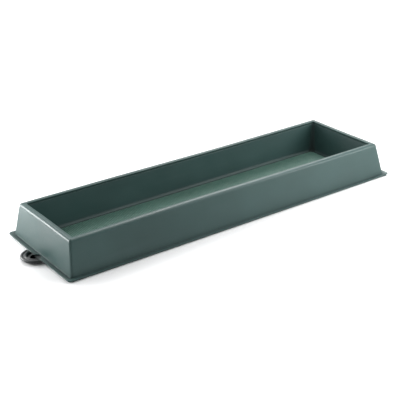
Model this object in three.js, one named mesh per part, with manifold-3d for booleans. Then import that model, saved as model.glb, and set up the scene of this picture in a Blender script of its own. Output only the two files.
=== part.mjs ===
// A plastic wash trough: a hollow-walled box without a lid, with a flange round its foot, a pull tab
// at one end and a loose ribbed mat on its floor.
// Millimetres, +Z up. X runs along the trough and the tab is at its -X end.
// The origin is the middle of the underside, below the middle of the trough.

import * as THREE from "three";
import { mergeVertices } from "three/addons/utils/BufferGeometryUtils.js";
import Module from "manifold-3d";

const wasm = await Module();
wasm.setup();

// The outer box, measured over its rim, and how much wider each side is at the foot than at the rim.
const LENGTH = 915;
const WIDTH = 252;
const HEIGHT = 87;
const END_FLARE = 13.5;
const SIDE_FLARE = 18;
const CORNER = 6;

// The rim between the outer walls and the channel, the rounds of its outer and inner edges, how deep its
// inner edge turns down, and how far that edge stands out over the channel's wall.
const RIM = 14;
const RIM_ROUND = 6;
const LIP_ROUND = 3;
const LIP_DROP = 6;
const OVERHANG = 1.5;

// Wall thickness of the mouldings, and the small gap between pieces that fit together.
const WALL = 3;
const GAP = 0.3;
const EDGE = 0.6;

// The flange round the foot, wider at the ends than at the sides, and the base panel, whose edge is set
// back under it.
const PANEL = 2.2;
const PANEL_SETBACK = 3;
const FLANGE = 2;
const FLANGE_OUT = 10.5;
const END_FLANGE_OUT = 12;
const FLANGE_ROUND = 1;
const FLANGE_CORNER = 10;

// The channel: how far its walls lean in from the mouth to the floor, and its corners.
const DRAFT = 12;
const MOUTH_CORNER = 4;
const FLOOR_CORNER = 17;
const FLOOR_ROUND = 8;
const FLOOR_TOP = PANEL + GAP + WALL;
const TRAY_LIP = 12;

// The loose mat, a sheet with low ribs across it.
const MAT_CLEARANCE = 1.5;
const MAT_SHEET = 2;
const RIB_PITCH = 5;
const RIB_HEIGHT = 1;
const RIB_CREST = 1.6;

// The pull tab: a D-shaped plate outside the flange, with a grooved bead round it and a finger hole that
// is half in the tab and half in the flange. A thin root runs from the tab under the flange and the end
// wall, closes the hole below, and turns up into a bar behind the wall.
const TAB_INNER = 21;
const TAB_OUTER = 37;
const TAB_BOTTOM = 4;
const TAB_TOP = 11.4;
const TAB_ROUND = 4;
const TAB_GROOVE = 1.6;
const TAB_PLATE_TOP = 5;
const TAB_RAMP = 8;
const HOLE_RADIUS = 13;
const HOLE_OFFSET = 2;
const ROOT_HALF_WIDTH = 24;
const ROOT_TOP = PANEL - GAP;
const ROOT_TURN = 4;
const BAR_HALF_WIDTH = 47;
const BAR_DEPTH = 24;
const BAR_CLEARANCE = 1.6;
const BAR_SCREW_Y = (TAB_INNER + TAB_OUTER) / 2;

// Countersunk screws, driven up from below. They stop short of the ground by SCREW_INSET.
const SCREW_RADIUS = 2;
const HEAD_RADIUS = 4;
const HEAD_DEPTH = 1.8;
const SCREW_INSET = 0.4;
const BASE_SCREW_LENGTH = 15;
const TAB_SCREW_LENGTH = 6.6;
const RECESS_DEPTH = 1.1;
const RECESS_REACH = 2.4;
const RECESS_WIDTH = 0.9;
const BOSS_RADIUS = 4.6;
const BOSS_TOP = 20;
const BOSS_INSET = 9.6;
const SIDE_SCREWS = 5;
const SIDE_SCREW_PITCH = 190;
const END_SCREW_Y = 88;

// Drain holes through the base panel, one near each corner.
const DRAIN_RADIUS = 4;
const DRAIN_X = 445;
const DRAIN_Y = 121;

const CORNER_STEPS = 5;
const ROUND_STEPS = 5;
const LATHE_SIDES = 12;
const RING_SIDES = 48;

const PLASTIC = new THREE.MeshStandardMaterial({ color: 0x49605b, roughness: 0.4, metalness: 0 });
const LINER = new THREE.MeshStandardMaterial({ color: 0x45605a, roughness: 0.4, metalness: 0 });
const RUBBER = new THREE.MeshStandardMaterial({ color: 0x3f6153, roughness: 0.7, metalness: 0 });
const DARK = new THREE.MeshStandardMaterial({ color: 0x2b3032, roughness: 0.35, metalness: 0 });
const STEEL = new THREE.MeshStandardMaterial({ color: 0xb9bcbe, roughness: 0.35, metalness: 1 });

// ---- Rings, lofts and booleans ----

// A level rounded rectangle, anticlockwise from above: one loop of a lofted wall.
function ring(halfLength, halfWidth, radius, z) {
  const points = [];
  for (let corner = 0; corner < 4; corner++) {
    const signX = corner === 0 || corner === 3 ? 1 : -1;
    const signY = corner < 2 ? 1 : -1;
    for (let step = 0; step <= CORNER_STEPS; step++) {
      const angle = ((corner + step / CORNER_STEPS) * Math.PI) / 2;
      const x = signX * (halfLength - radius) + radius * Math.cos(angle);
      const y = signY * (halfWidth - radius) + radius * Math.sin(angle);
      points.push(new THREE.Vector3(x, y, z));
    }
  }
  return points;
}

// A ring that is `out` mm outside the sloping outer wall at height z.
function outerRing([out, z]) {
  const share = 1 - z / HEIGHT;
  const onFlange = out > 0;
  const radius = CORNER + (onFlange ? (out * (FLANGE_CORNER - CORNER)) / FLANGE_OUT : out);
  const endOut = onFlange ? (out * END_FLANGE_OUT) / FLANGE_OUT : out;
  return ring(
    LENGTH / 2 + END_FLARE * share + endOut,
    WIDTH / 2 + SIDE_FLARE * share + out,
    Math.max(radius, EDGE),
    z,
  );
}

// A ring that is `out` mm behind the leaning face of the channel's wall at height z.
function channelRing([out, z]) {
  const depth = (HEIGHT - z) / (HEIGHT - FLOOR_TOP);
  const radius = MOUTH_CORNER + (FLOOR_CORNER - MOUTH_CORNER) * depth + out;
  return ring(
    LENGTH / 2 - RIM - DRAFT * depth + out,
    WIDTH / 2 - RIM - DRAFT * depth + out,
    Math.max(radius, EDGE),
    z,
  );
}

// Points on a quarter or other arc of a wall's section, as [out, z] pairs. Angles are in degrees.
function arc(out, z, radius, from, to, steps = ROUND_STEPS) {
  const points = [];
  for (let step = 0; step <= steps; step++) {
    const angle = THREE.MathUtils.degToRad(from + ((to - from) * step) / steps);
    points.push([out + radius * Math.cos(angle), z + radius * Math.sin(angle)]);
  }
  return points;
}

// Joins each ring to the next, and then either closes the section or caps the first and last rings.
function loft(rings, closed) {
  const count = rings[0].length;
  const index = [];
  const last = closed ? rings.length : rings.length - 1;
  for (let i = 0; i < last; i++) {
    for (let j = 0; j < count; j++) {
      const a = i * count + j;
      const b = i * count + ((j + 1) % count);
      const above = ((i + 1) % rings.length) * count;
      const c = above + ((j + 1) % count);
      const d = above + j;
      index.push(a, b, c, a, c, d);
    }
  }
  const points = rings.flat();
  if (!closed) {
    addCap(points, index, 0, count, true);
    addCap(points, index, (rings.length - 1) * count, count, false);
  }
  const geometry = new THREE.BufferGeometry().setFromPoints(points);
  geometry.setIndex(index);
  return geometry;
}

// Closes the ring that starts at `first` with a fan round a point at its middle.
function addCap(points, index, first, count, facesDown) {
  const middle = points.length;
  points.push(new THREE.Vector3(0, 0, points[first].z));
  for (let j = 0; j < count; j++) {
    const a = first + j;
    const b = first + ((j + 1) % count);
    index.push(middle, facesDown ? b : a, facesDown ? a : b);
  }
}

function solidOf(geometry) {
  const bare = geometry.clone();
  bare.deleteAttribute("normal");
  bare.deleteAttribute("uv");
  const merged = mergeVertices(bare, 1e-4);
  return new wasm.Manifold(
    new wasm.Mesh({
      numProp: 3,
      vertProperties: merged.attributes.position.array,
      triVerts: new Uint32Array(merged.index.array),
    }),
  );
}

function geometryOf(solid) {
  const mesh = solid.getMesh();
  const geometry = new THREE.BufferGeometry();
  geometry.setAttribute("position", new THREE.BufferAttribute(mesh.vertProperties, 3));
  geometry.setIndex(new THREE.BufferAttribute(mesh.triVerts, 1));
  return geometry;
}

function boxSolid(low, high) {
  const size = high.map((value, axis) => value - low[axis]);
  const middle = high.map((value, axis) => (value + low[axis]) / 2);
  return solidOf(new THREE.BoxGeometry(...size).translate(...middle));
}

// A solid turned round an upright axis through (x, y). The profile holds [radius, z] pairs.
function turnedSolid(profile, x, y, sides = LATHE_SIDES) {
  const points = profile.map(([radius, z]) => new THREE.Vector2(radius, z));
  const geometry = new THREE.LatheGeometry(points, sides);
  geometry.rotateX(Math.PI / 2).translate(x, y, 0);
  return solidOf(geometry);
}

function cylinderSolid(radius, low, high, x, y, sides = LATHE_SIDES) {
  return turnedSolid([[0, low], [radius, low], [radius, high], [0, high]], x, y, sides);
}

// ---- Screw places ----

function baseScrewPlaces() {
  const places = [];
  const footX = LENGTH / 2 + END_FLARE - BOSS_INSET;
  const footY = WIDTH / 2 + SIDE_FLARE - BOSS_INSET;
  for (let i = 0; i < SIDE_SCREWS; i++) {
    const x = (i - (SIDE_SCREWS - 1) / 2) * SIDE_SCREW_PITCH;
    places.push([x, -footY], [x, footY]);
  }
  for (const side of [-1, 1]) {
    places.push([side * footX, -END_SCREW_Y], [side * footX, END_SCREW_Y]);
  }
  return places;
}

const WALL_FOOT_X = -(LENGTH / 2 + END_FLARE * (1 - PANEL / HEIGHT));
const TAB_X = -(LENGTH / 2 + END_FLARE + END_FLANGE_OUT);
const BAR_FRONT = WALL_FOOT_X + WALL + BAR_CLEARANCE;
const ROOT_END = BAR_FRONT + ROOT_TURN;
const BAR_MIDDLE = BAR_FRONT + BAR_DEPTH / 2;
const BASE_SCREWS = baseScrewPlaces();
const TAB_SCREWS = [[BAR_MIDDLE, -BAR_SCREW_Y], [BAR_MIDDLE, BAR_SCREW_Y]];

// The outline of a screw, or of the hole that holds it when `slack` is above 0.
function screwProfile(length, slack) {
  const low = slack > 0 ? -1 : SCREW_INSET;
  const tip = SCREW_INSET + length;
  return [
    [0, low],
    [HEAD_RADIUS + slack, low],
    [HEAD_RADIUS + slack, SCREW_INSET + slack],
    [SCREW_RADIUS + slack, SCREW_INSET + HEAD_DEPTH],
    [SCREW_RADIUS + slack, tip - SCREW_RADIUS + slack],
    [0, tip + slack],
  ];
}

function cutScrewHoles(solid, places, length) {
  return places.reduce(
    (left, [x, y]) => left.subtract(turnedSolid(screwProfile(length, GAP), x, y)),
    solid,
  );
}

// ---- Pieces ----

// The outer moulding: flange, sloping walls, rolled rim, and bosses for the screws inside its foot.
function outerShell() {
  const flangeTop = PANEL + FLANGE;
  const section = [
    [FLANGE_OUT, PANEL],
    [FLANGE_OUT, flangeTop - EDGE],
    [FLANGE_OUT - EDGE, flangeTop],
    ...arc(FLANGE_ROUND, flangeTop + FLANGE_ROUND, FLANGE_ROUND, 270, 180),
    ...arc(-RIM_ROUND, HEIGHT - RIM_ROUND, RIM_ROUND, 0, 90),
    ...arc(LIP_ROUND - RIM, HEIGHT - LIP_ROUND, LIP_ROUND, 90, 180),
    [-RIM, HEIGHT - LIP_DROP],
    [WALL - RIM, HEIGHT - LIP_DROP],
    [WALL - RIM, HEIGHT - WALL],
    ...arc(-RIM_ROUND, HEIGHT - RIM_ROUND, RIM_ROUND - WALL, 90, 0),
    [-WALL, PANEL],
  ];
  let shell = solidOf(loft(section.map(outerRing), true));
  for (const [x, y] of BASE_SCREWS) {
    shell = shell.add(cylinderSolid(BOSS_RADIUS, PANEL, BOSS_TOP, x, y));
  }
  shell = cutScrewHoles(shell, BASE_SCREWS, BASE_SCREW_LENGTH);
  return geometryOf(shell.subtract(fingerHole(PANEL - 1)));
}

// The finger hole, from `low` to above the tab.
function fingerHole(low) {
  return cylinderSolid(HOLE_RADIUS, low, TAB_TOP + 1, TAB_X - HOLE_OFFSET, 0, RING_SIDES);
}

// The channel, dropped into the shell from below. Its lip reaches out below the rim to the shell's wall.
function innerTray() {
  const lipTop = HEIGHT - LIP_DROP - GAP;
  const roundZ = FLOOR_TOP + FLOOR_ROUND;
  const section = [
    ...arc(-FLOOR_ROUND, roundZ, FLOOR_ROUND + WALL, 270, 360),
    [WALL + OVERHANG, lipTop - WALL],
    [TRAY_LIP, lipTop - WALL],
    [TRAY_LIP, lipTop],
    [OVERHANG + EDGE, lipTop],
    [OVERHANG, lipTop - EDGE],
    ...arc(-FLOOR_ROUND, roundZ, FLOOR_ROUND, 0, -90),
  ];
  return loft(section.map(channelRing), false);
}

// The flat panel that closes the underside, screwed up into the shell's bosses and the tab's bar.
function basePanel() {
  const out = FLANGE_OUT - PANEL_SETBACK;
  const rings = [[out - EDGE, 0], [out, EDGE], [out, PANEL]].map(outerRing);
  let panel = solidOf(loft(rings, false));
  panel = cutScrewHoles(panel, BASE_SCREWS, BASE_SCREW_LENGTH);
  panel = cutScrewHoles(panel, TAB_SCREWS, TAB_SCREW_LENGTH);
  for (const x of [-DRAIN_X, DRAIN_X]) {
    for (const y of [-DRAIN_Y, DRAIN_Y]) {
      panel = panel.subtract(cylinderSolid(DRAIN_RADIUS, -1, PANEL + 1, x, y));
    }
  }
  const notch = ROOT_HALF_WIDTH + GAP;
  return geometryOf(panel.subtract(boxSolid([TAB_X, -notch, -1], [ROOT_END + GAP, notch, PANEL + 1])));
}

// The section of the tab's bead: rounded, with a groove along the top between two ridges.
function beadSection() {
  const middle = (TAB_INNER + TAB_OUTER) / 2;
  const crest = TAB_TOP - TAB_ROUND;
  const groove = TAB_TOP - TAB_GROOVE;
  return [
    [TAB_INNER, TAB_BOTTOM],
    ...arc(TAB_OUTER - TAB_ROUND, TAB_BOTTOM + TAB_ROUND, TAB_ROUND, 270, 360),
    ...arc(TAB_OUTER - TAB_ROUND, crest, TAB_ROUND, 0, 90),
    [middle + TAB_ROUND, TAB_TOP],
    [middle + EDGE, groove],
    [middle - EDGE, groove],
    [middle - TAB_ROUND, TAB_TOP],
    ...arc(TAB_INNER + TAB_ROUND, crest, TAB_ROUND, 90, 180),
  ];
}

// Everything outside the flange's edge, below a ramp that brings the bead's ends down to the flange.
function outsideFlange() {
  const reach = TAB_OUTER + 1;
  const edge = TAB_X - GAP;
  const shape = new THREE.Shape();
  shape.moveTo(edge - reach, 0);
  shape.lineTo(edge, 0);
  shape.lineTo(edge, TAB_PLATE_TOP);
  shape.lineTo(edge - TAB_RAMP, TAB_TOP + EDGE);
  shape.lineTo(edge - reach, TAB_TOP + EDGE);
  const geometry = new THREE.ExtrudeGeometry(shape, { depth: 2 * reach, bevelEnabled: false });
  return solidOf(geometry.rotateX(Math.PI / 2).translate(0, reach, 0));
}

// The root: a flat strip under the flange and the wall, turned up behind the wall.
function tabRoot() {
  const half = ROOT_HALF_WIDTH;
  const strip = boxSolid([TAB_X - half / 2, -half, GAP], [ROOT_END, half, ROOT_TOP]);
  return strip.add(boxSolid([BAR_FRONT, -half, GAP], [ROOT_END, half, TAB_TOP]));
}

function pullTab() {
  const section = beadSection();
  section.push(section[0]);
  const bead = turnedSolid(section, TAB_X, 0, RING_SIDES);
  const plate = cylinderSolid(ROOT_HALF_WIDTH, GAP, TAB_PLATE_TOP, TAB_X, 0, RING_SIDES);
  const bar = boxSolid(
    [BAR_FRONT, -BAR_HALF_WIDTH, PANEL + GAP],
    [BAR_FRONT + BAR_DEPTH, BAR_HALF_WIDTH, TAB_TOP],
  );
  const front = bead.add(plate).intersect(outsideFlange()).subtract(fingerHole(ROOT_TOP));
  return geometryOf(cutScrewHoles(front.add(tabRoot()).add(bar), TAB_SCREWS, TAB_SCREW_LENGTH));
}

// The mat: a sheet with ribs across the channel, cut to the floor's rounded outline.
function floorMat() {
  const bottom = FLOOR_TOP + GAP / 2;
  const sheetTop = bottom + MAT_SHEET;
  const out = -FLOOR_ROUND - MAT_CLEARANCE;
  const outline = channelRing([out, FLOOR_TOP]);
  const halfLength = LENGTH / 2 - RIM - DRAFT + out;
  const ribs = Math.floor((2 * halfLength) / RIB_PITCH) - 1;
  const profile = new THREE.Shape();
  profile.moveTo(-halfLength - 1, bottom);
  profile.lineTo(halfLength + 1, bottom);
  profile.lineTo(halfLength + 1, sheetTop);
  for (let i = ribs - 1; i >= 0; i--) {
    const x = (i - (ribs - 1) / 2) * RIB_PITCH;
    profile.lineTo(x + RIB_CREST, sheetTop);
    profile.lineTo(x + RIB_CREST / 2, sheetTop + RIB_HEIGHT);
    profile.lineTo(x - RIB_CREST / 2, sheetTop + RIB_HEIGHT);
    profile.lineTo(x - RIB_CREST, sheetTop);
  }
  profile.lineTo(-halfLength - 1, sheetTop);
  const ribbed = new THREE.ExtrudeGeometry(profile, { depth: WIDTH, bevelEnabled: false });
  ribbed.rotateX(Math.PI / 2).translate(0, WIDTH / 2, 0);
  const low = outline.map((point) => point.clone().setZ(bottom - 1));
  const high = outline.map((point) => point.clone().setZ(HEIGHT));
  return geometryOf(solidOf(ribbed).intersect(solidOf(loft([low, high], false))));
}

// A countersunk screw with a cross recess in the face of its head, pointing up.
function screw(length) {
  const body = turnedSolid(screwProfile(length, 0), 0, 0);
  const half = RECESS_WIDTH / 2;
  const top = SCREW_INSET + RECESS_DEPTH;
  const alongX = boxSolid([-RECESS_REACH, -half, -1], [RECESS_REACH, half, top]);
  const alongY = boxSolid([-half, -RECESS_REACH, -1], [half, RECESS_REACH, top]);
  return geometryOf(body.subtract(alongX.add(alongY)));
}

// ---- Assembly ----

const trough = new THREE.Group();

function addPiece(name, geometry, material) {
  const mesh = new THREE.Mesh(geometry, material);
  mesh.name = name;
  trough.add(mesh);
  return mesh;
}

function addScrews(prefix, places, length) {
  const geometry = screw(length);
  places.forEach(([x, y], i) => {
    const name = `${prefix}_${String(i + 1).padStart(2, "0")}`;
    addPiece(name, geometry, STEEL).position.set(x, y, 0);
  });
}

addPiece("outer_shell", outerShell(), PLASTIC);
addPiece("inner_tray", innerTray(), LINER);
addPiece("base_panel", basePanel(), PLASTIC);
addPiece("pull_tab", pullTab(), DARK);
addPiece("floor_mat", floorMat(), RUBBER);
addScrews("base_screw", BASE_SCREWS, BASE_SCREW_LENGTH);
addScrews("tab_screw", TAB_SCREWS, TAB_SCREW_LENGTH);

export default trough;
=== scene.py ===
"""Looks of the hollow-walled wash trough: its shell, tray, tab, mat, panel and screws, and a plain studio.

Shapes are worked out in millimetres in the part's own frame and turned into metres when a mesh is made.
"""

import math

import bmesh
import bpy
from mathutils import Matrix, Vector


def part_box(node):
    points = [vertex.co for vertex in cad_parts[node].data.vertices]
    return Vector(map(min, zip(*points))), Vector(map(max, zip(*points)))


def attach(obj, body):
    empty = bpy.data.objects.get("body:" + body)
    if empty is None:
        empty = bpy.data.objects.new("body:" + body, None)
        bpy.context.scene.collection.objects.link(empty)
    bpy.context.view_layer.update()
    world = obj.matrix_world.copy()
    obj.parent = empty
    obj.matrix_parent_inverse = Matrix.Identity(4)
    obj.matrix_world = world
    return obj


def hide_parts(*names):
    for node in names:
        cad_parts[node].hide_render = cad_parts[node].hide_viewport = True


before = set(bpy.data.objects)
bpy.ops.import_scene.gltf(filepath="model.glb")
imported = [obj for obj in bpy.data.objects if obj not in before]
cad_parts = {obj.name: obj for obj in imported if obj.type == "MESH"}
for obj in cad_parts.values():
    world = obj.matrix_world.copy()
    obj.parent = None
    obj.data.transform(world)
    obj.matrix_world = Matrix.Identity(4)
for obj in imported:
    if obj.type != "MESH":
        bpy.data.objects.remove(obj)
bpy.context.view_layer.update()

MM = 0.001

# ---- Driving dimensions, in millimetres, read from the frame where a node shows them ----


def box_mm(node):
    """The low and high corners of a CAD node's box."""
    low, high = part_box(node)
    return low / MM, high / MM


SHELL_LOW, SHELL_HIGH = box_mm("outer_shell")
PANEL_LOW, PANEL_HIGH = box_mm("base_panel")
MAT_LOW, MAT_HIGH = box_mm("floor_mat")
TAB_LOW, TAB_HIGH = box_mm("pull_tab")
SCREW_LOW, SCREW_HIGH = box_mm("base_screw_01")

HEIGHT = SHELL_HIGH.z
PANEL = PANEL_HIGH.z
END_FLARE = 13.5
SIDE_FLARE = 18.0
CORNER = 6.0
FLANGE = 2.0
FLANGE_OUT = 10.5
END_FLANGE_OUT = 12.0
FLANGE_CORNER = 10.0
FLANGE_ROUND = 1.0
FLANGE_TOP = PANEL + FLANGE
FOOT_SHARE = 1 - PANEL / HEIGHT
HALF_LENGTH = SHELL_HIGH.x - END_FLANGE_OUT - END_FLARE * FOOT_SHARE
HALF_WIDTH = SHELL_HIGH.y - FLANGE_OUT - SIDE_FLARE * FOOT_SHARE

RIM = 14.0
RIM_ROUND = 6.0
LIP_ROUND = 3.0
LIP_DROP = 6.0
LIP_CHAMFER = 0.6
OVERHANG = 1.5
WALL = 3.0
GAP = 0.3
EDGE = 0.8
CHAMFER = 0.3

# How far beyond a round the next loop of points lies, so that the flat beside the round stays flat.
WALL_HOLD = 1.5
RIM_HOLD = 1.0
FLOOR_HOLD = 5.0

DRAFT = 12.0
MOUTH_CORNER = 4.0
FLOOR_CORNER = 17.0
FLOOR_ROUND = 8.0
FLOOR_TOP = PANEL + GAP + WALL
TRAY_LIP = 12.0
TRAY_TOP = HEIGHT - LIP_DROP - GAP

WALL_FOOT_X = -(HALF_LENGTH + END_FLARE * FOOT_SHARE)
TAB_X = -(HALF_LENGTH + END_FLARE + END_FLANGE_OUT)
TAB_OUTER = 37.0
TAB_INNER = 21.0
TAB_BOTTOM = 4.0
TAB_TOP = TAB_HIGH.z
TAB_ROUND = 4.0
TAB_GROOVE = 1.6
TAB_CHAMFER = 0.4
GROOVE_HALF = 1.2
GROOVE_ROUND = 0.2
TAB_PLATE_TOP = 5.0
TAB_RAMP = 8.0
HOLE_RADIUS = 13.0
HOLE_OFFSET = 2.0
ROOT_HALF_WIDTH = 24.0
ROOT_BOTTOM = TAB_LOW.z
ROOT_TOP = PANEL - GAP
ROOT_TURN = 4.0
BAR_CLEARANCE = 1.6
BAR_FRONT = WALL_FOOT_X + WALL + BAR_CLEARANCE
ROOT_END = BAR_FRONT + ROOT_TURN

HEAD_RADIUS = (SCREW_HIGH.x - SCREW_LOW.x) / 2
HEAD_DEPTH = 1.8
SCREW_RADIUS = 2.0
SCREW_INSET = SCREW_LOW.z
BOSS_RADIUS = 4.6
BOSS_TOP = 20.0
PANEL_SETBACK = 3.0
RECESS = (2.4, 0.45, 1.1)
DRAIN_RADIUS = 4.0
DRAIN_PLACES = [(x, y) for x in (-445.0, 445.0) for y in (-121.0, 121.0)]

# Inward bow of the two long walls and of the end walls at the rim, where it is greatest and how far it
# spreads. BOW_POWER says how the bow fades towards the foot of the wall.
FAR_BOW = {"depth": 4.5, "at": 120.0, "spread": 260.0}
NEAR_BOW = {"depth": 3.5, "at": -150.0, "spread": 230.0}
END_BOW = {"depth": 1.2, "at": 0.0, "spread": 70.0}

BOW_POWER = 1.4

CURL_HEIGHT = 2.2
CURL_REACH = 55.0

CORNER_STEPS = 8
LONG_STEPS = 36
SHORT_STEPS = 12
BEAD_STEPS = 48

RIB_PITCH = 5.0
RIB_HEIGHT = 1.0
MAT_SHEET = MAT_HIGH.z - MAT_LOW.z - RIB_HEIGHT
MAT_CORNER = 8.0
MAT_COLUMNS = 14
MAT_SWAY = 0.12

# ---- Mesh building ----


def ring(half_length, half_width, radius, z):
    """A level rounded rectangle, anticlockwise from above, with its straight sides divided too."""
    radius = max(radius, 0.4)
    points = []
    for corner in range(4):
        sign_x = 1 if corner in (0, 3) else -1
        sign_y = 1 if corner < 2 else -1
        cx, cy = sign_x * (half_length - radius), sign_y * (half_width - radius)
        for step in range(CORNER_STEPS + 1):
            angle = (corner + step / CORNER_STEPS) * math.pi / 2
            points.append((cx + radius * math.cos(angle), cy + radius * math.sin(angle), z))
        steps = LONG_STEPS if corner in (0, 2) else SHORT_STEPS
        run = 2 * (half_length - radius) if corner in (0, 2) else 2 * (half_width - radius)
        dx, dy = ((-1, 0), (0, -1), (1, 0), (0, 1))[corner]
        x, y, _ = points[-1]
        for step in range(1, steps):
            points.append((x + dx * run * step / steps, y + dy * run * step / steps, z))
    return points


def outer_ring(out, z):
    """A ring that is `out` outside the sloping outer wall at height z."""
    share = 1 - z / HEIGHT
    grow = out * (FLANGE_CORNER - CORNER) / FLANGE_OUT if out > 0 else out
    end_out = out * END_FLANGE_OUT / FLANGE_OUT if out > 0 else out
    return ring(HALF_LENGTH + END_FLARE * share + end_out, HALF_WIDTH + SIDE_FLARE * share + out, CORNER + grow, z)


def channel_ring(out, z):
    """A ring that is `out` behind the leaning face of the channel's wall at height z."""
    depth = (HEIGHT - z) / (HEIGHT - FLOOR_TOP)
    radius = MOUTH_CORNER + (FLOOR_CORNER - MOUTH_CORNER) * depth + out
    inset = RIM + DRAFT * depth - out
    return ring(HALF_LENGTH - inset, HALF_WIDTH - inset, radius, z)


def arc(out, z, radius, start, end, steps, wear_and_shade=0.0):
    """Section points on an arc, as (out, z, wear), with angles in degrees; wear below 0 is painted shade."""
    points = []
    for step in range(steps + 1):
        angle = math.radians(start + (end - start) * step / steps)
        points.append((out + radius * math.cos(angle), z + radius * math.sin(angle), wear_and_shade))
    return points


def slope(start, end, steps):
    """Section points along a straight wall, between its two ends."""
    shares = [step / steps for step in range(1, steps)]
    return [(start[0] + (end[0] - start[0]) * t, start[1] + (end[1] - start[1]) * t, 0.0) for t in shares]


def curl(x, y, z):
    """How far the flange lifts at a point: most at its outer corners, nothing at the foot of the wall."""
    share = 1 - z / HEIGHT
    beyond_x = abs(x) - (HALF_LENGTH + END_FLARE * share)
    beyond_y = abs(y) - (HALF_WIDTH + SIDE_FLARE * share)
    out = max(0.0, min(1.0, max(beyond_x, beyond_y) / FLANGE_OUT))
    from_corner = math.hypot(min(0.0, beyond_x), min(0.0, beyond_y))
    return CURL_HEIGHT * out * math.exp(-from_corner / CURL_REACH)


def hump(along, bow):
    """The depth of a bow at a place along its wall."""
    return bow["depth"] * math.exp(-(((along - bow["at"]) / bow["spread"]) ** 2))


def bowed(point):
    """The walls lean in a little between their corners, and the flange curls up at its corners."""
    x, y, z = point
    lift = max(0.0, (z - FLANGE_TOP) / (HEIGHT - FLANGE_TOP)) ** BOW_POWER
    side = hump(x, FAR_BOW if y > 0 else NEAR_BOW) * y / HALF_WIDTH
    end = hump(y, END_BOW) * x / HALF_LENGTH
    return (x - end * lift, y - side * lift, z + curl(x, y, z))


def loft(name, rings, wear_and_shade, closed, warp=bowed):
    """A mesh through the rings, closed on itself or capped at both ends. Wear, with painted shade below 0, has a
    value for each point.
    """
    count = len(rings[0])
    vertices = [warp(point) if warp else point for loop in rings for point in loop]
    faces = []
    for i in range(len(rings) if closed else len(rings) - 1):
        above = (i + 1) % len(rings)
        for j in range(count):
            k = (j + 1) % count
            faces.append((i * count + j, i * count + k, above * count + k, above * count + j))
    if not closed:
        faces.append(tuple(reversed(range(count))))
        faces.append(tuple(range((len(rings) - 1) * count, len(rings) * count)))
    return mesh_object(name, vertices, faces, wear_and_shade)


def ring_wear_and_shade(section, rings):
    """The wear of each section point, repeated round its ring. Values below 0 are painted shade."""
    return [worn for _, _, worn in section for _ in rings[0]]


def corner_shares():
    """For each point of a ring, 1 in the middle of a corner's round and 0 on the straight sides."""
    shares = []
    for corner in range(4):
        shares += [math.sin(math.pi * step / CORNER_STEPS) for step in range(CORNER_STEPS + 1)]
        shares += [0.0] * ((LONG_STEPS if corner in (0, 2) else SHORT_STEPS) - 1)
    return shares


def mesh_object(name, vertices, faces, wear_and_shade=None):
    """A smooth-shaded object from points in millimetres, with its edge wear and painted shade stored on its
    points.
    """
    mesh = bpy.data.meshes.new(name)
    mesh.from_pydata([Vector(v) * MM for v in vertices], [], faces)
    mesh.polygons.foreach_set("use_smooth", [True] * len(mesh.polygons))
    attribute = mesh.attributes.new("wear_and_shade", "FLOAT", "POINT")
    attribute.data.foreach_set("value", wear_and_shade if wear_and_shade else [0.0] * len(vertices))
    piece = bpy.data.objects.new(name, mesh)
    bpy.context.scene.collection.objects.link(piece)
    return piece


def apply_modifiers(piece):
    """Replaces the piece's mesh with the one its modifiers make."""
    graph = bpy.context.evaluated_depsgraph_get()
    mesh = bpy.data.meshes.new_from_object(piece.evaluated_get(graph))
    piece.modifiers.clear()
    piece.data = mesh


def combine(piece, operation, *others):
    """Cuts the other solids out of the piece, or welds them to it, and removes them."""
    for other in others:
        modifier = piece.modifiers.new("combine", "BOOLEAN")
        modifier.operation = operation
        modifier.solver = "EXACT"
        modifier.object = other
    apply_modifiers(piece)
    for other in others:
        bpy.data.objects.remove(other)


def smooth_by_angle(piece, degrees=35):
    """Shades smooth but keeps real edges crisp, and leaves flat faces flat beside small rounds."""
    mesh = piece.data
    mesh.polygons.foreach_set("use_smooth", [True] * len(mesh.polygons))
    mesh.set_sharp_from_angle(angle=math.radians(degrees))
    weighted = piece.modifiers.new("weighted_normals", "WEIGHTED_NORMAL")
    weighted.keep_sharp = True
    apply_modifiers(piece)


def block(name, low, high, bevel=0.0):
    """A box between two corners, with its edges rounded when bevel is above 0."""
    mesh = bmesh.new()
    bmesh.ops.create_cube(mesh, size=1)
    size = Vector(high) - Vector(low)
    middle = (Vector(high) + Vector(low)) / 2
    for vertex in mesh.verts:
        vertex.co = Vector(c * s for c, s in zip(vertex.co, size)) + middle
    if bevel:
        bmesh.ops.bevel(mesh, geom=mesh.edges[:], offset=bevel, segments=3, affect="EDGES", profile=0.5)
    vertices = [vertex.co[:] for vertex in mesh.verts]
    faces = [[vertex.index for vertex in face.verts] for face in mesh.faces]
    mesh.free()
    return mesh_object(name, vertices, faces)


def turned(name, profile, places, sides=24):
    """One mesh with a copy of a turned solid at each (x, y) place. The profile holds (radius, z, wear)."""
    vertices, faces, wear_and_shade = [], [], []
    for x, y in places:
        first = len(vertices)
        for radius, z, worn in profile:
            for side in range(sides):
                angle = 2 * math.pi * side / sides
                vertices.append((x + radius * math.cos(angle), y + radius * math.sin(angle), z))
                wear_and_shade.append(worn)
        for i in range(len(profile) - 1):
            for side in range(sides):
                a, b = first + i * sides + side, first + i * sides + (side + 1) % sides
                faces.append((a, b, b + sides, a + sides))
        faces.append(tuple(first + side for side in reversed(range(sides))))
        last = first + (len(profile) - 1) * sides
        faces.append(tuple(last + side for side in range(sides)))
    return mesh_object(name, vertices, faces, wear_and_shade)


# ---- Materials ----


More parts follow.
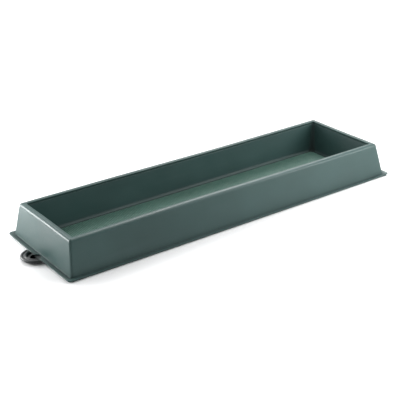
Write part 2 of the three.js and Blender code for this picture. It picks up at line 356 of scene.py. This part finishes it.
class Nodes:
    """A small helper that adds nodes to one material and links them by name."""

    def __init__(self, name):
        self.material = bpy.data.materials.new(name)
        self.material.use_nodes = True
        self.tree = self.material.node_tree
        self.shader = self.tree.nodes["Principled BSDF"]
        self.coordinates = self.add("ShaderNodeTexCoord").outputs["Object"]

    def add(self, kind, **settings):
        node = self.tree.nodes.new(kind)
        for key, value in settings.items():
            setattr(node, key, value)
        return node

    def link(self, source, target):
        self.tree.links.new(source, target)

    def noise(self, scale, detail=2.0, stretch=(1, 1, 1), roughness=0.5):
        """Noise at `scale` per metre, drawn out along the axes where stretch is below 1."""
        mapping = self.add("ShaderNodeMapping")
        mapping.inputs["Scale"].default_value = stretch
        self.link(self.coordinates, mapping.inputs["Vector"])
        node = self.add("ShaderNodeTexNoise")
        node.inputs["Scale"].default_value = scale
        node.inputs["Detail"].default_value = detail
        node.inputs["Roughness"].default_value = roughness
        self.link(mapping.outputs["Vector"], node.inputs["Vector"])
        return node.outputs["Fac"]

    def spread(self, value, low, high, to_low, to_high):
        """Maps a value from one range to another, held at both ends."""
        node = self.add("ShaderNodeMapRange")
        for key, number in zip(("From Min", "From Max", "To Min", "To Max"), (low, high, to_low, to_high)):
            node.inputs[key].default_value = number
        self.link(value, node.inputs["Value"])
        return node.outputs["Result"]

    def math(self, operation, a, b):
        node = self.add("ShaderNodeMath", operation=operation)
        for socket, value in zip(node.inputs, (a, b)):
            if isinstance(value, (int, float)):
                socket.default_value = value
            else:
                self.link(value, socket)
        return node.outputs[0]

    def mix(self, factor, a, b):
        """A colour between a and b; each may be a colour or another node's output."""
        node = self.add("ShaderNodeMix", data_type="RGBA")
        self.link(factor, node.inputs["Factor"])
        for socket, value in ((node.inputs["A"], a), (node.inputs["B"], b)):
            if isinstance(value, tuple):
                socket.default_value = (*value, 1)
            else:
                self.link(value, socket)
        return node.outputs["Result"]

    def attribute(self, name):
        return self.add("ShaderNodeAttribute", attribute_name=name).outputs["Fac"]

    def bump(self, height, strength, distance, below=None):
        node = self.add("ShaderNodeBump")
        node.inputs["Strength"].default_value = strength
        node.inputs["Distance"].default_value = distance
        self.link(height, node.inputs["Height"])
        if below is not None:
            self.link(below, node.inputs["Normal"])
        return node.outputs["Normal"]


# Painted shade: a near-black green laid into the colour in the channel's corners, along the foot of its walls and
# on the flange.
PAINTED_SHADE_COLOUR = (0.006, 0.011, 0.01)
PAINTED_SHADE_COVER = 0.85


def moulded_plastic(name, dark, light, worn, roughness, grain=0.15, level=0.5):
    """Moulded plastic: mottled colour, flow streaks, scuffed edges, painted shade where the wear value is below 0,
    a fine grain and gentle waviness.
    """
    n = Nodes(name)
    cloud = n.spread(n.noise(5, 3), 0.3, 0.7, 0, 1)
    colour = n.mix(cloud, dark, light)
    streaks = n.spread(n.noise(60, 4, stretch=(0.08, 1, 1)), 0.55, 0.8, 0, 0.08)
    colour = n.mix(streaks, colour, worn)
    scuff = n.spread(n.noise(140, 5, roughness=0.65), 0.42, 0.68, 0, 0.5)
    edge = n.spread(n.math("MULTIPLY", n.attribute("wear_and_shade"), scuff), 0, 1, 0, 1)
    colour = n.mix(edge, colour, worn)
    # Painted shade: where the wear value is below 0 the colour darkens towards the near-black green, and the
    # surface gets rougher.
    painted_shade = n.spread(n.attribute("wear_and_shade"), 0, -1, 0, 1)
    colour = n.mix(n.math("MULTIPLY", painted_shade, PAINTED_SHADE_COVER), colour, PAINTED_SHADE_COLOUR)
    n.link(colour, n.shader.inputs["Base Color"])
    rough = n.spread(n.noise(18, 5, roughness=0.6), 0.3, 0.7, roughness[0], roughness[1])
    rough = n.math("ADD", rough, n.math("MULTIPLY", edge, 0.18))
    rough = n.math("ADD", rough, n.math("MULTIPLY", painted_shade, 0.5))
    n.link(rough, n.shader.inputs["Roughness"])
    wave = n.bump(n.noise(9, 1), 0.35, 0.0012)
    fine = n.bump(n.noise(1600, 2), grain, 0.00012, below=wave)
    n.link(fine, n.shader.inputs["Normal"])
    n.shader.inputs["Specular IOR Level"].default_value = level
    return n.material


def ribbed_rubber(name, dark, light, dust):
    """Mat rubber: matt, speckled with dust, and a little paler and dustier on the crests of its ribs."""
    n = Nodes(name)
    cloud = n.spread(n.noise(7, 4), 0.3, 0.7, 0, 1)
    colour = n.mix(cloud, dark, light)
    speck = n.spread(n.noise(900, 3, roughness=0.7), 0.6, 0.75, 0, 0.35)
    colour = n.mix(speck, colour, dust)
    crest = n.math("MULTIPLY", n.attribute("wear_and_shade"), n.spread(n.noise(80, 4), 0.35, 0.65, 0.2, 0.7))
    colour = n.mix(crest, colour, dust)
    n.link(colour, n.shader.inputs["Base Color"])
    n.link(n.spread(n.noise(30, 4), 0.3, 0.7, 0.5, 0.68), n.shader.inputs["Roughness"])
    n.link(n.bump(n.noise(1300, 3), 0.4, 0.0002), n.shader.inputs["Normal"])
    return n.material


def screw_steel(name):
    """Stainless steel with turning marks and a few dull patches."""
    n = Nodes(name)
    tone = n.spread(n.noise(260, 3), 0.3, 0.7, 0, 1)
    n.link(n.mix(tone, (0.36, 0.36, 0.37), (0.56, 0.56, 0.57)), n.shader.inputs["Base Color"])
    n.link(n.spread(n.noise(700, 3), 0.3, 0.7, 0.25, 0.5), n.shader.inputs["Roughness"])
    n.link(n.bump(n.noise(2500, 2), 0.2, 0.00005), n.shader.inputs["Normal"])
    n.shader.inputs["Metallic"].default_value = 1
    return n.material


BODY = moulded_plastic(
    "body_plastic", (0.026, 0.058, 0.055), (0.036, 0.077, 0.073), (0.09, 0.135, 0.128), (0.34, 0.44), level=0.38
)
PANEL_PLASTIC = moulded_plastic(
    "panel_plastic", (0.03, 0.06, 0.056), (0.04, 0.076, 0.07), (0.12, 0.16, 0.15), (0.42, 0.58), grain=0.5
)
TAB_PLASTIC = moulded_plastic(
    "tab_plastic", (0.006, 0.009, 0.01), (0.01, 0.014, 0.015), (0.04, 0.047, 0.049), (0.32, 0.42)
)
RUBBER = ribbed_rubber("mat_rubber", (0.036, 0.096, 0.075), (0.048, 0.125, 0.098), (0.11, 0.185, 0.152))
STEEL = screw_steel("screw_steel")


def dress(piece, material, slot, body, *nodes):
    """Gives a finished piece its material and its body, and hides the CAD nodes that it stands for."""
    piece.data.materials.clear()
    piece.data.materials.append(material)
    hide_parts(*nodes)
    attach(piece, body)


# ---- Pieces ----


def shell_section():
    """The shell's closed section, from the flange's lower edge up, over the rim and down inside."""
    foot = FLANGE_TOP + FLANGE_ROUND
    shoulder = HEIGHT - RIM_ROUND
    return [
        (FLANGE_OUT - CHAMFER, PANEL, 0.0),
        (FLANGE_OUT, PANEL + CHAMFER, 0.2),
        *arc(FLANGE_OUT - EDGE, FLANGE_TOP - EDGE, EDGE, 0, 90, 4, wear_and_shade=0.2),
        # Painted shade: the flange top and the round at the foot of the wall are darkened (values below 0).
        (FLANGE_ROUND + EDGE, FLANGE_TOP, -0.45),
        *arc(FLANGE_ROUND, foot, FLANGE_ROUND, 270, 180, 8, wear_and_shade=-0.35),
        (0.0, foot + WALL_HOLD, 0.0),
        *slope((0.0, foot + WALL_HOLD), (0.0, shoulder - WALL_HOLD), 8),
        (0.0, shoulder - WALL_HOLD, 0.05),
        *arc(-RIM_ROUND, shoulder, RIM_ROUND, 0, 90, 10, wear_and_shade=0.15),
        (-RIM_ROUND - RIM_HOLD, HEIGHT, 0.2),
        (LIP_ROUND + RIM_HOLD - RIM, HEIGHT, 0.3),
        *arc(LIP_ROUND - RIM, HEIGHT - LIP_ROUND, LIP_ROUND, 90, 180, 8, wear_and_shade=0.4),
        (-RIM, HEIGHT - LIP_DROP + LIP_CHAMFER, 0.2),
        (LIP_CHAMFER - RIM, HEIGHT - LIP_DROP, 0.0),
        (WALL - RIM, HEIGHT - LIP_DROP, 0.0),
        (WALL - RIM, HEIGHT - WALL, 0.0),
        *arc(-RIM_ROUND, shoulder, RIM_ROUND - WALL, 90, 0, 5),
        *slope((-WALL, shoulder), (-WALL, PANEL), 8),
        (-WALL, PANEL, 0.0),
    ]


def finger_hole(low):
    """The finger hole, from z = low to above the tab: half in the tab, half in the flange."""
    profile = [(HOLE_RADIUS, low, 0.0), (HOLE_RADIUS, TAB_TOP + 1, 0.0)]
    return turned("finger_hole", profile, [(TAB_X - HOLE_OFFSET, 0)], sides=64)


def screw_places(prefix):
    """The middle of each screw whose node name starts with prefix, as (x, y)."""
    names = sorted(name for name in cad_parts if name.startswith(prefix))
    middles = [(low + high) / 2 for low, high in (box_mm(name) for name in names)]
    return [(middle.x, middle.y) for middle in middles]


def build_shell():
    """The outer shell, with the screw bosses inside its foot and the flange's half of the finger hole."""
    section = shell_section()
    rings = [outer_ring(out, z) for out, z, _ in section]
    shell = loft("trough_shell", rings, ring_wear_and_shade(section, rings), closed=True)
    places = screw_places("base_screw")
    boss = [(BOSS_RADIUS, PANEL, 0.0), (BOSS_RADIUS, BOSS_TOP, 0.0)]
    hole = [(SCREW_RADIUS + GAP, PANEL - 1, 0.0), (SCREW_RADIUS + GAP, SCREW_HIGH.z + GAP, 0.0)]
    combine(shell, "UNION", turned("bosses", boss, places))
    combine(shell, "DIFFERENCE", finger_hole(PANEL - 1), turned("holes", hole, places))
    smooth_by_angle(shell)
    dress(shell, BODY, "body_plastic", "trough", "outer_shell")


def tray_section():
    """The tray's section, from the middle of its underside out, up, over its lip and down to the floor."""
    foot = FLOOR_TOP + FLOOR_ROUND
    return [
        (-FLOOR_ROUND - FLOOR_HOLD, FLOOR_TOP - WALL, 0.0),
        *arc(-FLOOR_ROUND, foot, FLOOR_ROUND + WALL, 270, 360, 5),
        *slope((WALL, foot), (WALL + OVERHANG, TRAY_TOP - WALL), 8),
        (WALL + OVERHANG, TRAY_TOP - WALL, 0.0),
        (TRAY_LIP, TRAY_TOP - WALL, 0.0),
        (TRAY_LIP, TRAY_TOP, 0.0),
        (OVERHANG + EDGE, TRAY_TOP, 0.2),
        *arc(OVERHANG + EDGE, TRAY_TOP - EDGE, EDGE, 90, 180, 3, wear_and_shade=0.3),
        *slope((OVERHANG, TRAY_TOP - EDGE), (0.0, foot), 12),
        (0.0, foot, 0.0),
        # Painted shade along the foot of the wall: the lower round is darkened, dulling its highlight, and darkest
        # where it meets the floor.
        *arc(-FLOOR_ROUND, foot, FLOOR_ROUND, -10, -50, 4, wear_and_shade=-0.35),
        *arc(-FLOOR_ROUND, foot, FLOOR_ROUND, -60, -90, 3, wear_and_shade=-0.8),
        (-FLOOR_ROUND - FLOOR_HOLD, FLOOR_TOP, -0.8),
    ]


def build_tray():
    """The tray that is the channel, with painted shade in its corners, darker towards the floor."""
    section = tray_section()
    rings = [channel_ring(out, z) for out, z, _ in section]
    shares = corner_shares()
    wear_and_shade = []
    for _, z, worn in section:
        depth = (TRAY_TOP - z) / (TRAY_TOP - FLOOR_TOP)
        # Painted shade: the corners darken, more towards the floor.
        wear_and_shade += [worn - share * (0.4 + 0.6 * depth) for share in shares]
    tray = loft("trough_tray", rings, wear_and_shade, closed=False)
    smooth_by_angle(tray)
    dress(tray, BODY, "body_plastic", "trough", "inner_tray")


def bead_section():
    """The tab's bead as (across, z, wear): rounded outside, with a groove between two ridges on top."""
    half = (TAB_OUTER - TAB_INNER) / 2
    ridge = half - TAB_ROUND
    crest = TAB_TOP - TAB_ROUND
    groove = TAB_TOP - TAB_GROOVE
    return [
        (-half, TAB_BOTTOM + TAB_CHAMFER, 0.0),
        (TAB_CHAMFER - half, TAB_BOTTOM, 0.0),
        *arc(ridge, TAB_BOTTOM + TAB_ROUND, TAB_ROUND, 270, 360, 6, wear_and_shade=0.1),
        *arc(ridge, crest, TAB_ROUND, 0, 125, 10, wear_and_shade=0.5),
        (GROOVE_HALF, groove + GROOVE_ROUND, 0.1),
        (0.0, groove, 0.0),
        (-GROOVE_HALF, groove + GROOVE_ROUND, 0.1),
        *arc(-ridge, crest, TAB_ROUND, 55, 180, 10, wear_and_shade=0.5),
    ]


def bead_ring(step):
    """The bead's section at one step round its half circle, lowered to the flange at both ends."""
    angle = math.radians(90 + 180 * step / BEAD_STEPS)
    middle = (TAB_INNER + TAB_OUTER) / 2
    points = []
    for across, z, _ in reversed(bead_section()):
        x = min(TAB_X - GAP, TAB_X + (middle + across) * math.cos(angle))
        ramp = TAB_PLATE_TOP + (TAB_X - GAP - x) * (TAB_TOP - TAB_PLATE_TOP) / TAB_RAMP
        points.append((x, (middle + across) * math.sin(angle), min(z, ramp)))
    return points


def plate(name, x_end, low, high):
    """A level plate: a half disc about the flange's edge, then straight to x_end."""
    angles = [math.radians(90 + 180 * step / BEAD_STEPS) for step in range(BEAD_STEPS + 1)]
    curve = [(min(x_end, TAB_X + ROOT_HALF_WIDTH * math.cos(a)), ROOT_HALF_WIDTH * math.sin(a)) for a in angles]
    outline = curve if x_end <= TAB_X else [(x_end, ROOT_HALF_WIDTH), *curve, (x_end, -ROOT_HALF_WIDTH)]
    return loft(name, [[(x, y, z) for x, y in outline] for z in (low, high)], None, closed=False, warp=None)


def build_tab():
    """The tab: its bead and plate outside, and the root and bar that hold it behind the end wall."""
    wear_and_shade = [worn for _ in range(BEAD_STEPS + 1) for _, _, worn in reversed(bead_section())]
    tab = loft("tow_tab", [bead_ring(step) for step in range(BEAD_STEPS + 1)], wear_and_shade, closed=False, warp=None)
    upper = plate("upper_plate", TAB_X - GAP, ROOT_BOTTOM, TAB_PLATE_TOP)
    combine(upper, "DIFFERENCE", finger_hole(ROOT_TOP))
    root = plate("root", ROOT_END, ROOT_BOTTOM, ROOT_TOP)
    half = ROOT_HALF_WIDTH
    turn = block("turn", (BAR_FRONT, -half, ROOT_BOTTOM), (ROOT_END, half, TAB_TOP))
    bar = block("bar", (BAR_FRONT, TAB_LOW.y, PANEL + GAP), tuple(TAB_HIGH), bevel=EDGE)
    combine(tab, "UNION", upper, root, turn, bar)
    smooth_by_angle(tab)
    dress(tab, TAB_PLASTIC, "tab_plastic", "trough", "pull_tab")


def build_panel():
    """The panel under the foot: rounded edge, countersunk screw holes and a drain near each corner."""
    out = FLANGE_OUT - PANEL_SETBACK
    section = [(out - 1.0, 0.0, 0.0), (out - 0.3, 0.25, 0.3), (out, 1.0, 0.3), (out, PANEL, 0.0)]
    rings = [outer_ring(o, z) for o, z, _ in section]
    panel = loft("foot_panel", rings, ring_wear_and_shade(section, rings), closed=False, warp=None)
    sink = [
        (HEAD_RADIUS + GAP, -1.0, 0.0),
        (HEAD_RADIUS + GAP, SCREW_INSET + GAP, 0.0),
        (SCREW_RADIUS + GAP, SCREW_INSET + HEAD_DEPTH, 0.0),
        (SCREW_RADIUS + GAP, PANEL + 1, 0.0),
    ]
    drain = [(DRAIN_RADIUS + 0.7, -1.0, 0.0), (DRAIN_RADIUS, 0.7, 0.0), (DRAIN_RADIUS, PANEL + 1, 0.0)]
    places = screw_places("base_screw") + screw_places("tab_screw")
    half = ROOT_HALF_WIDTH + GAP
    notch = block("notch", (TAB_X, -half, -1), (ROOT_END + GAP, half, PANEL + 1))
    combine(panel, "DIFFERENCE", turned("sinks", sink, places), turned("drains", drain, DRAIN_PLACES), notch)
    smooth_by_angle(panel)
    dress(panel, PANEL_PLASTIC, "panel_plastic", "trough", "base_panel")


def screw_mesh(length):
    """A countersunk screw standing on its head at the origin, with a cross recess in the head."""
    top = SCREW_INSET + length
    shank = SCREW_RADIUS
    profile = [
        (HEAD_RADIUS - 0.25, SCREW_INSET, 0.0),
        (HEAD_RADIUS, SCREW_INSET + 0.15, 0.3),
        (shank, SCREW_INSET + HEAD_DEPTH, 0.0),
        (shank, top - 2 * shank, 0.0),
        (shank * 0.75, top - shank, 0.0),
        (0.25, top, 0.0),
    ]
    screw = turned("screw", profile, [(0, 0)], sides=32)
    reach, half, depth = RECESS
    floor = SCREW_INSET + depth
    arms = [
        block("slot", (-reach, -half, -1), (reach, half, floor), bevel=0.15),
        block("slot", (-half, -reach, -1), (half, reach, floor), bevel=0.15),
    ]
    combine(screw, "DIFFERENCE", *arms)
    smooth_by_angle(screw)
    mesh = screw.data
    bpy.data.objects.remove(screw)
    return mesh


def build_screws(prefix):
    """The screws whose node names start with prefix, all sharing one mesh."""
    names = sorted(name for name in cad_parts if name.startswith(prefix))
    low, high = box_mm(names[0])
    mesh = screw_mesh(high.z - low.z)
    for name, (x, y) in zip(names, screw_places(prefix)):
        screw = bpy.data.objects.new(f"steel_{name}", mesh)
        screw.location = (x * MM, y * MM, 0)
        bpy.context.scene.collection.objects.link(screw)
        dress(screw, STEEL, "screw_steel", "trough", name)


def rib_stations():
    """Places along the mat as (x, height of the rib there)."""
    half = MAT_HIGH.x
    ribs = int(2 * half / RIB_PITCH) - 1
    profile = [(-2.5, 0.0), (-1.5, 0.06), (-0.9, 0.62), (-0.35, 0.97), (0.35, 0.97), (0.9, 0.62), (1.5, 0.06)]
    stations = [(-half, 0.0)]
    for i in range(ribs):
        middle = (i - (ribs - 1) / 2) * RIB_PITCH
        stations += [(middle + x, height * RIB_HEIGHT) for x, height in profile]
    stations.append((half, 0.0))
    return stations


def mat_half_width(x):
    """Half the mat's width at x: full, but rounded off at the corners."""
    over = abs(x) - (MAT_HIGH.x - MAT_CORNER)
    if over <= 0:
        return MAT_HIGH.y
    return MAT_HIGH.y - MAT_CORNER + math.sqrt(max(0.0, MAT_CORNER**2 - over**2))


def build_mat():
    """The mat: a thin sheet with cross ribs on top, which lies a little unevenly."""
    vertices, faces, wear_and_shade = [], [], []
    stations = rib_stations()
    columns = MAT_COLUMNS + 1
    for x, height in stations:
        half = mat_half_width(x)
        for column in range(columns):
            y = (2 * column / MAT_COLUMNS - 1) * half
            sway = MAT_SWAY * math.sin(x * 0.021 + y * 0.03) * math.cos(y * 0.045)
            vertices.append((x, y, MAT_LOW.z + MAT_SHEET + height + sway - MAT_SWAY))
            wear_and_shade.append(height)
        vertices += [(x, -half, MAT_LOW.z), (x, half, MAT_LOW.z)]
        wear_and_shade += [0.0, 0.0]
    row = columns + 2
    for i in range(len(stations) - 1):
        a, b = i * row, (i + 1) * row
        for column in range(MAT_COLUMNS):
            faces.append((a + column, b + column, b + column + 1, a + column + 1))
        faces.append((a + columns, b + columns, b, a))
        faces.append((a + columns - 1, b + columns - 1, b + columns + 1, a + columns + 1))
        faces.append((a + columns + 1, b + columns + 1, b + columns, a + columns))
    last = (len(stations) - 1) * row
    faces.append((*range(columns), columns + 1, columns))
    faces.append((last + columns, last + columns + 1, *reversed(range(last, last + columns))))
    mat = mesh_object("ribbed_mat", vertices, faces, wear_and_shade)
    smooth_by_angle(mat, 60)
    dress(mat, RUBBER, "mat_rubber", "mat", "floor_mat")


# ---- Studio ----

CAMERA_AZIMUTH = -34.31
CAMERA_ELEVATION = 24.37
CAMERA_ROLL = -1.82
CAMERA_LENS = 88.55
CAMERA_SENSOR = 36
CAMERA_CLIP_END = 60
CAMERA_PLACE = Vector((-1.2972, -1.8622, 1.0378))

STUDIO_WHITE = (1.0, 1.0, 1.0)
WORLD_STRENGTH = 0.22
FLOOR_REACH = 15.0
FLOOR_DROP = 0.0004


def camera_axes():
    """The camera's right, up and back directions, from its azimuth, elevation and roll."""
    azimuth, elevation, roll = (math.radians(a) for a in (CAMERA_AZIMUTH, CAMERA_ELEVATION, CAMERA_ROLL))
    back = Vector(
        (math.sin(azimuth) * math.cos(elevation), -math.cos(azimuth) * math.cos(elevation), math.sin(elevation))
    )
    right = (-back).cross(Vector((0, 0, 1))).normalized()
    up = right.cross(-back)
    return (
        math.cos(roll) * right + math.sin(roll) * up,
        math.cos(roll) * up - math.sin(roll) * right,
        back,
    )


def add_camera():
    data = bpy.data.cameras.new("camera")
    data.lens = CAMERA_LENS
    data.sensor_width = CAMERA_SENSOR
    data.clip_end = CAMERA_CLIP_END
    camera = bpy.data.objects.new("camera", data)
    right, up, back = camera_axes()
    turn = Matrix((right, up, back)).transposed().to_4x4()
    camera.matrix_world = Matrix.Translation(CAMERA_PLACE) @ turn
    bpy.context.scene.collection.objects.link(camera)
    bpy.context.scene.camera = camera


def add_floor():
    """A wide sheet of pale paper, a hair below the trough."""
    mesh = bpy.data.meshes.new("floor")
    corners = [(x * FLOOR_REACH, y * FLOOR_REACH, -FLOOR_DROP) for x, y in ((-1, -1), (1, -1), (1, 1), (-1, 1))]
    mesh.from_pydata(corners, [], [(0, 1, 2, 3)])
    floor = bpy.data.objects.new("floor", mesh)
    bpy.context.scene.collection.objects.link(floor)
    material = bpy.data.materials.new("floor_paper")
    material.use_nodes = True
    shader = material.node_tree.nodes["Principled BSDF"]
    shader.inputs["Base Color"].default_value = (0.93, 0.935, 0.94, 1)
    shader.inputs["Roughness"].default_value = 0.9
    shader.inputs["Specular IOR Level"].default_value = 0.1
    mesh.materials.append(material)


def add_softbox(name, place, aim, width, height, power):
    data = bpy.data.lights.new(name, "AREA")
    data.shape = "RECTANGLE"
    data.size = width
    data.size_y = height
    data.energy = power
    data.color = STUDIO_WHITE
    light = bpy.data.objects.new(name, data)
    light.location = place
    light.rotation_euler = (Vector(aim) - Vector(place)).to_track_quat("-Z", "Y").to_euler()
    bpy.context.scene.collection.objects.link(light)


# Each softbox as (name, place, aim, width, height, power in watts), in metres.
SOFTBOXES = [
    ("key_box", (1.73, 1.73, 2.25), (0, 0, 0.04), 1.3, 1.3, 68),
    ("back_box", (0, 2.45, 2.25), (0, 0, 0.04), 1.3, 1.3, 31),
    ("right_box", (0.82, -0.57, 1.23), (0, 0, 0.04), 0.8, 0.8, 8),
    ("right_top_box", (0.5, 0.1, 1.5), (0.35, 0, 0), 0.9, 0.9, 9),
    ("front_box", (0.95, -0.75, 0.45), (0.4, -0.12, 0.04), 0.6, 0.5, 9.5),
    ("end_box", (-1.35, 0.35, 0.7), (-0.47, 0.05, 0.04), 0.9, 0.9, 6),
    ("low_end_box", (-0.85, 0.6, 0.2), (-0.48, 0.1, 0.05), 0.4, 0.3, 8),
]


def add_studio():
    add_floor()
    for box in SOFTBOXES:
        add_softbox(*box)
    world = bpy.data.worlds.new("studio")
    world.use_nodes = True
    background = world.node_tree.nodes["Background"]
    background.inputs["Color"].default_value = (*STUDIO_WHITE, 1)
    background.inputs["Strength"].default_value = WORLD_STRENGTH
    bpy.context.scene.world = world
    bpy.context.scene.view_settings.view_transform = "Standard"


add_camera()
build_shell()
build_tray()
build_tab()
build_mat()
build_panel()
build_screws("base_screw")
build_screws("tab_screw")
add_studio()
